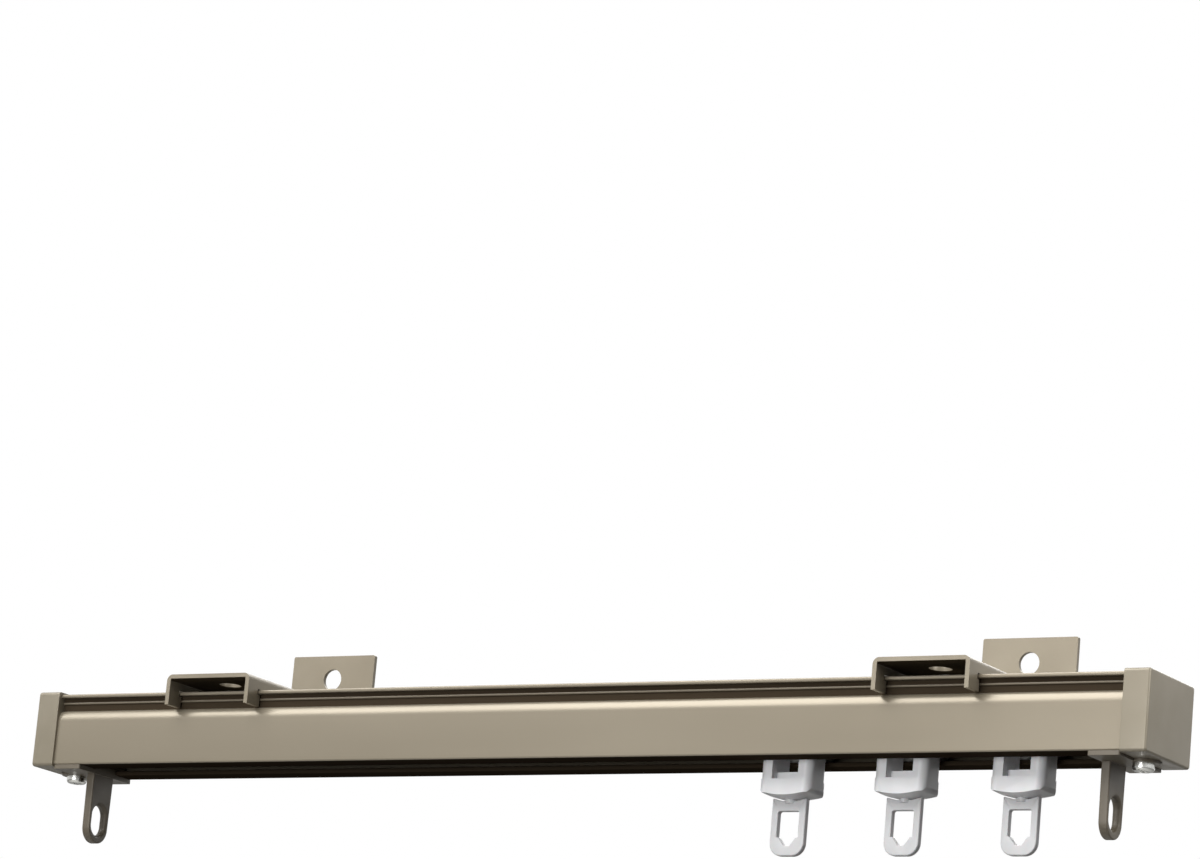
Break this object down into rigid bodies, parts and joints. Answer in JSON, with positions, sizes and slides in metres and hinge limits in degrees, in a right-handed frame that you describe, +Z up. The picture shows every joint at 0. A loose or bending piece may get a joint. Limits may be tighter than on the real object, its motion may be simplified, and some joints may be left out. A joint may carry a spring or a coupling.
{
  "type": "curtain track",
  "caption": "Short extruded curtain track with end caps, eyelet end stops, swivel-hook runners on wheels, and sliding sheet brackets for a wall or ceiling.",
  "frame": {"origin": "on the wall plane, midway between the wall screw holes of the two brackets", "axes": "+X along the rail, to the right as seen from the room; +Y into the wall; +Z up"},
  "size_m": [0.3422, 0.0597, 0.0648],
  "materials": {
    "champagne_aluminium": "satin champagne powder coat",
    "champagne_steel": "satin champagne powder coat",
    "champagne_plastic": "satin champagne moulding",
    "runner_plastic": "satin pale grey moulding",
    "hook_plastic": "satin pale grey moulding",
    "wheel_plastic": "smooth natural acetal",
    "bright_steel": "bright zinc plated"
  },
  "bodies": {
    "track": {"rail": "champagne_aluminium", "end_cap_left": "champagne_plastic", "end_stop_left": "champagne_plastic", "stop_screw_left": "bright_steel", "end_cap_right": "champagne_plastic", "end_stop_right": "champagne_plastic", "stop_screw_right": "bright_steel"},
    "bracket_left": {"bracket_left": "champagne_steel"},
    "bracket_right": {"bracket_right": "champagne_steel"},
    "runner_1": {"runner_1_body": "runner_plastic"},
    "runner_1_hook": {"runner_1_hook": "hook_plastic"},
    "runner_1_wheelset_a": {"runner_1_axle_a": "bright_steel", "runner_1_wheel_a_front": "wheel_plastic", "runner_1_wheel_a_rear": "wheel_plastic"},
    "runner_1_wheelset_b": {"runner_1_axle_b": "bright_steel", "runner_1_wheel_b_front": "wheel_plastic", "runner_1_wheel_b_rear": "wheel_plastic"},
    "runner_2": {"runner_2_body": "runner_plastic"},
    "runner_2_hook": {"runner_2_hook": "hook_plastic"},
    "runner_2_wheelset_a": {"runner_2_axle_a": "bright_steel", "runner_2_wheel_a_front": "wheel_plastic", "runner_2_wheel_a_rear": "wheel_plastic"},
    "runner_2_wheelset_b": {"runner_2_axle_b": "bright_steel", "runner_2_wheel_b_front": "wheel_plastic", "runner_2_wheel_b_rear": "wheel_plastic"},
    "runner_3": {"runner_3_body": "runner_plastic"},
    "runner_3_hook": {"runner_3_hook": "hook_plastic"},
    "runner_3_wheelset_a": {"runner_3_axle_a": "bright_steel", "runner_3_wheel_a_front": "wheel_plastic", "runner_3_wheel_a_rear": "wheel_plastic"},
    "runner_3_wheelset_b": {"runner_3_axle_b": "bright_steel", "runner_3_wheel_b_front": "wheel_plastic", "runner_3_wheel_b_rear": "wheel_plastic"}
  },
  "joints": [
    {"name": "bracket_left_slide", "type": "slide", "parent": "track", "child": "bracket_left", "axis": [1, 0, 0], "range_m": [-0.0391, 0.1921]},
    {"name": "bracket_right_slide", "type": "slide", "parent": "track", "child": "bracket_right", "axis": [1, 0, 0], "range_m": [-0.1921, 0.0405]},
    {"name": "runner_1_slide", "type": "slide", "parent": "track", "child": "runner_1", "axis": [1, 0, 0], "range_m": [-0.2128, 0.0176]},
    {"name": "runner_1_hook_swivel", "type": "hinge", "parent": "runner_1", "child": "runner_1_hook", "pos_m": [0.0664, -0.0432, -0.0431], "axis": [0, 0, 1], "continuous": true},
    {"name": "runner_1_wheelset_a_spin", "type": "hinge", "parent": "runner_1", "child": "runner_1_wheelset_a", "pos_m": [0.0625, -0.0432, -0.02905], "axis": [0, 1, 0], "continuous": true},
    {"name": "runner_1_wheelset_b_spin", "type": "hinge", "parent": "runner_1", "child": "runner_1_wheelset_b", "pos_m": [0.0703, -0.0432, -0.02905], "axis": [0, 1, 0], "continuous": true},
    {"name": "runner_2_slide", "type": "slide", "parent": "track", "child": "runner_2", "axis": [1, 0, 0], "range_m": [-0.0176, 0.0176]},
    {"name": "runner_2_hook_swivel", "type": "hinge", "parent": "runner_2", "child": "runner_2_hook", "pos_m": [0.0995, -0.0432, -0.0431], "axis": [0, 0, 1], "continuous": true},
    {"name": "runner_2_wheelset_a_spin", "type": "hinge", "parent": "runner_2", "child": "runner_2_wheelset_a", "pos_m": [0.0956, -0.0432, -0.02905], "axis": [0, 1, 0], "continuous": true},
    {"name": "runner_2_wheelset_b_spin", "type": "hinge", "parent": "runner_2", "child": "runner_2_wheelset_b", "pos_m": [0.1034, -0.0432, -0.02905], "axis": [0, 1, 0], "continuous": true},
    {"name": "runner_3_slide", "type": "slide", "parent": "track", "child": "runner_3", "axis": [1, 0, 0], "range_m": [-0.0176, 0.0152]},
    {"name": "runner_3_hook_swivel", "type": "hinge", "parent": "runner_3", "child": "runner_3_hook", "pos_m": [0.1326, -0.0432, -0.0431], "axis": [0, 0, 1], "continuous": true},
    {"name": "runner_3_wheelset_a_spin", "type": "hinge", "parent": "runner_3", "child": "runner_3_wheelset_a", "pos_m": [0.1287, -0.0432, -0.02905], "axis": [0, 1, 0], "continuous": true},
    {"name": "runner_3_wheelset_b_spin", "type": "hinge", "parent": "runner_3", "child": "runner_3_wheelset_b", "pos_m": [0.1365, -0.0432, -0.02905], "axis": [0, 1, 0], "continuous": true}
  ],
  "couplings": [
    {"joint": "runner_1_wheelset_a_spin", "follows": "runner_1_slide", "rad_per_m": 277.78},
    {"joint": "runner_1_wheelset_b_spin", "follows": "runner_1_slide", "rad_per_m": 277.78},
    {"joint": "runner_2_wheelset_a_spin", "follows": "runner_2_slide", "rad_per_m": 277.78},
    {"joint": "runner_2_wheelset_b_spin", "follows": "runner_2_slide", "rad_per_m": 277.78},
    {"joint": "runner_3_wheelset_a_spin", "follows": "runner_3_slide", "rad_per_m": 277.78},
    {"joint": "runner_3_wheelset_b_spin", "follows": "runner_3_slide", "rad_per_m": 277.78}
  ]
}
